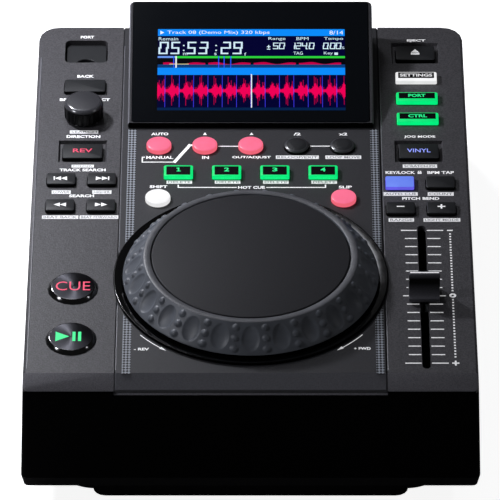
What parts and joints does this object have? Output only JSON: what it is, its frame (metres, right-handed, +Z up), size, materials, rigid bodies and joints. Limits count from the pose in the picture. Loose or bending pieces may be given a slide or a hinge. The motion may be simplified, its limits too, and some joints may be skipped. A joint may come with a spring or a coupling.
{
  "type": "dj media player",
  "caption": "Compact tabletop DJ media player: jog wheel, tilted screen, pitch fader, browse knob and lit keys in a charcoal moulded case on round feet.",
  "frame": {"origin": "middle of the bounding box at the surface it stands on", "axes": "+X to the user's right, +Y from the user towards the rear sockets, +Z up"},
  "size_m": [0.2194, 0.3, 0.0987],
  "materials": {
    "black_abs": "fine moulded grain",
    "bronze": "oiled sintered bronze",
    "case_abs": "fine moulded grain",
    "circuit_board": "green solder mask",
    "foot_rubber": "matt",
    "gloss_black": "gloss",
    "grip_rubber": "matt",
    "key_rubber": "satin",
    "lamp_blue": "translucent, lit",
    "lamp_green": "translucent, lit",
    "lamp_red": "translucent, lit",
    "lamp_white": "translucent, lit",
    "printed_panel": "satin, printed",
    "zinc_steel": "zinc plated"
  },
  "bodies": {
    "case": {"bottom_cover": "black_abs", "centre_panel": "printed_panel", "data_socket": "zinc_steel", "dc_inlet": "black_abs", "encoder_body": "zinc_steel", "fader_body": "zinc_steel", "foot_front_left": "foot_rubber", "foot_front_right": "foot_rubber", "foot_rear_left": "foot_rubber", "foot_rear_right": "foot_rubber", "jog_bracket": "zinc_steel", "jog_bush": "bronze", "jog_collar": "gloss_black", "key_board": "circuit_board", "lcd_module": "zinc_steel", "main_board": "circuit_board", "memory_port": "zinc_steel", "phono_socket_pair": "black_abs", "screen_lens": "gloss_black", "screen_pod": "black_abs", "top_case": "case_abs"},
    "jog_wheel": {"jog_touch_plate": "printed_panel", "jog_grip_ring": "grip_rubber", "jog_platter": "black_abs", "jog_shaft": "zinc_steel"},
    "browse_plunger": {"encoder_plunger": "bronze"},
    "browse_control": {"encoder_shaft": "zinc_steel", "browse_knob": "black_abs"},
    "pitch_slider": {"fader_lever": "zinc_steel", "fader_cap": "black_abs"},
    "back": {"back_key": "key_rubber"},
    "reverse": {"reverse_key": "key_rubber"},
    "track_previous": {"track_previous_key": "key_rubber"},
    "track_next": {"track_next_key": "key_rubber"},
    "search_back": {"search_back_key": "key_rubber"},
    "search_forward": {"search_forward_key": "key_rubber"},
    "cue": {"cue_key": "gloss_black"},
    "play_pause": {"play_pause_key": "gloss_black"},
    "shift": {"shift_key": "lamp_white"},
    "slip": {"slip_key": "lamp_red"},
    "eject": {"eject_key": "key_rubber"},
    "settings": {"settings_key": "lamp_white"},
    "media_source": {"media_source_key": "lamp_green"},
    "control_source": {"control_source_key": "lamp_green"},
    "jog_mode": {"jog_mode_key": "key_rubber"},
    "key_lock": {"key_lock_key": "lamp_blue"},
    "beat_tap": {"beat_tap_key": "key_rubber"},
    "pitch_down": {"pitch_down_key": "key_rubber"},
    "pitch_up": {"pitch_up_key": "key_rubber"},
    "loop_auto": {"loop_auto_key": "lamp_red"},
    "loop_in": {"loop_in_key": "lamp_red"},
    "loop_out": {"loop_out_key": "lamp_red"},
    "loop_halve": {"loop_halve_key": "key_rubber"},
    "loop_double": {"loop_double_key": "key_rubber"},
    "hot_cue_1": {"hot_cue_1_key": "lamp_green"},
    "hot_cue_2": {"hot_cue_2_key": "lamp_green"},
    "hot_cue_3": {"hot_cue_3_key": "lamp_green"},
    "hot_cue_4": {"hot_cue_4_key": "lamp_green"},
    "power": {"power_key": "key_rubber"},
    "port_cap": {"port_cap": "key_rubber"}
  },
  "joints": [
    {"name": "jog_turn", "type": "hinge", "parent": "case", "child": "jog_wheel", "pos_m": [0, -0.06841, 0.076], "axis": [0, 0, 1], "continuous": true},
    {"name": "browse_push", "type": "slide", "parent": "case", "child": "browse_plunger", "axis": [0, 0, -1], "range_m": [0, 0.0005], "stiffness_N_per_m": 900, "springref_m": -0.0006},
    {"name": "browse_turn", "type": "hinge", "parent": "browse_plunger", "child": "browse_control", "pos_m": [-0.0834, 0.06198, 0.076], "axis": [0, 0, 1], "continuous": true},
    {"name": "pitch_slide", "type": "slide", "parent": "case", "child": "pitch_slider", "axis": [0, 1, 0], "range_m": [-0.05, 0.05]},
    {"name": "back_press", "type": "slide", "parent": "case", "child": "back", "axis": [0, 0, -1], "range_m": [0, 0.0008], "stiffness_N_per_m": 500, "springref_m": -0.0006},
    {"name": "reverse_press", "type": "slide", "parent": "case", "child": "reverse", "axis": [0, 0, -1], "range_m": [0, 0.0008], "stiffness_N_per_m": 500, "springref_m": -0.0006},
    {"name": "track_previous_press", "type": "slide", "parent": "case", "child": "track_previous", "axis": [0, 0, -1], "range_m": [0, 0.0008], "stiffness_N_per_m": 500, "springref_m": -0.0006},
    {"name": "track_next_press", "type": "slide", "parent": "case", "child": "track_next", "axis": [0, 0, -1], "range_m": [0, 0.0008], "stiffness_N_per_m": 500, "springref_m": -0.0006},
    {"name": "search_back_press", "type": "slide", "parent": "case", "child": "search_back", "axis": [0, 0, -1], "range_m": [0, 0.0008], "stiffness_N_per_m": 500, "springref_m": -0.0006},
    {"name": "search_forward_press", "type": "slide", "parent": "case", "child": "search_forward", "axis": [0, 0, -1], "range_m": [0, 0.0008], "stiffness_N_per_m": 500, "springref_m": -0.0006},
    {"name": "cue_press", "type": "slide", "parent": "case", "child": "cue", "axis": [0, 0, -1], "range_m": [0, 0.0011], "stiffness_N_per_m": 500, "springref_m": -0.0006},
    {"name": "play_pause_press", "type": "slide", "parent": "case", "child": "play_pause", "axis": [0, 0, -1], "range_m": [0, 0.0011], "stiffness_N_per_m": 500, "springref_m": -0.0006},
    {"name": "shift_press", "type": "slide", "parent": "case", "child": "shift", "axis": [0, 0, -1], "range_m": [0, 0.0008], "stiffness_N_per_m": 500, "springref_m": -0.0006},
    {"name": "slip_press", "type": "slide", "parent": "case", "child": "slip", "axis": [0, 0, -1], "range_m": [0, 0.0008], "stiffness_N_per_m": 500, "springref_m": -0.0006},
    {"name": "eject_press", "type": "slide", "parent": "case", "child": "eject", "axis": [0, 0, -1], "range_m": [0, 0.0008], "stiffness_N_per_m": 500, "springref_m": -0.0006},
    {"name": "settings_press", "type": "slide", "parent": "case", "child": "settings", "axis": [0, 0, -1], "range_m": [0, 0.0008], "stiffness_N_per_m": 500, "springref_m": -0.0006},
    {"name": "media_source_press", "type": "slide", "parent": "case", "child": "media_source", "axis": [0, 0, -1], "range_m": [0, 0.0008], "stiffness_N_per_m": 500, "springref_m": -0.0006},
    {"name": "control_source_press", "type": "slide", "parent": "case", "child": "control_source", "axis": [0, 0, -1], "range_m": [0, 0.0008], "stiffness_N_per_m": 500, "springref_m": -0.0006},
    {"name": "jog_mode_press", "type": "slide", "parent": "case", "child": "jog_mode", "axis": [0, 0, -1], "range_m": [0, 0.0008], "stiffness_N_per_m": 500, "springref_m": -0.0006},
    {"name": "key_lock_press", "type": "slide", "parent": "case", "child": "key_lock", "axis": [0, 0, -1], "range_m": [0, 0.0008], "stiffness_N_per_m": 500, "springref_m": -0.0006},
    {"name": "beat_tap_press", "type": "slide", "parent": "case", "child": "beat_tap", "axis": [0, 0, -1], "range_m": [0, 0.0008], "stiffness_N_per_m": 500, "springref_m": -0.0006},
    {"name": "pitch_down_press", "type": "slide", "parent": "case", "child": "pitch_down", "axis": [0, 0, -1], "range_m": [0, 0.0008], "stiffness_N_per_m": 500, "springref_m": -0.0006},
    {"name": "pitch_up_press", "type": "slide", "parent": "case", "child": "pitch_up", "axis": [0, 0, -1], "range_m": [0, 0.0008], "stiffness_N_per_m": 500, "springref_m": -0.0006},
    {"name": "loop_auto_press", "type": "slide", "parent": "case", "child": "loop_auto", "axis": [0, 0, -1], "range_m": [0, 0.0008], "stiffness_N_per_m": 500, "springref_m": -0.0006},
    {"name": "loop_in_press", "type": "slide", "parent": "case", "child": "loop_in", "axis": [0, 0, -1], "range_m": [0, 0.0008], "stiffness_N_per_m": 500, "springref_m": -0.0006},
    {"name": "loop_out_press", "type": "slide", "parent": "case", "child": "loop_out", "axis": [0, 0, -1], "range_m": [0, 0.0008], "stiffness_N_per_m": 500, "springref_m": -0.0006},
    {"name": "loop_halve_press", "type": "slide", "parent": "case", "child": "loop_halve", "axis": [0, 0, -1], "range_m": [0, 0.0008], "stiffness_N_per_m": 500, "springref_m": -0.0006},
    {"name": "loop_double_press", "type": "slide", "parent": "case", "child": "loop_double", "axis": [0, 0, -1], "range_m": [0, 0.0008], "stiffness_N_per_m": 500, "springref_m": -0.0006},
    {"name": "hot_cue_1_press", "type": "slide", "parent": "case", "child": "hot_cue_1", "axis": [0, 0, -1], "range_m": [0, 0.0008], "stiffness_N_per_m": 500, "springref_m": -0.0006},
    {"name": "hot_cue_2_press", "type": "slide", "parent": "case", "child": "hot_cue_2", "axis": [0, 0, -1], "range_m": [0, 0.0008], "stiffness_N_per_m": 500, "springref_m": -0.0006},
    {"name": "hot_cue_3_press", "type": "slide", "parent": "case", "child": "hot_cue_3", "axis": [0, 0, -1], "range_m": [0, 0.0008], "stiffness_N_per_m": 500, "springref_m": -0.0006},
    {"name": "hot_cue_4_press", "type": "slide", "parent": "case", "child": "hot_cue_4", "axis": [0, 0, -1], "range_m": [0, 0.0008], "stiffness_N_per_m": 500, "springref_m": -0.0006},
    {"name": "power_press", "type": "slide", "parent": "case", "child": "power", "axis": [0, -1, 0], "range_m": [0, 0.0025], "stiffness_N_per_m": 500, "springref_m": -0.001},
    {"name": "port_cap_lift", "type": "slide", "parent": "case", "child": "port_cap", "axis": [0, 0, 1], "range_m": [0, 0.015]}
  ]
}
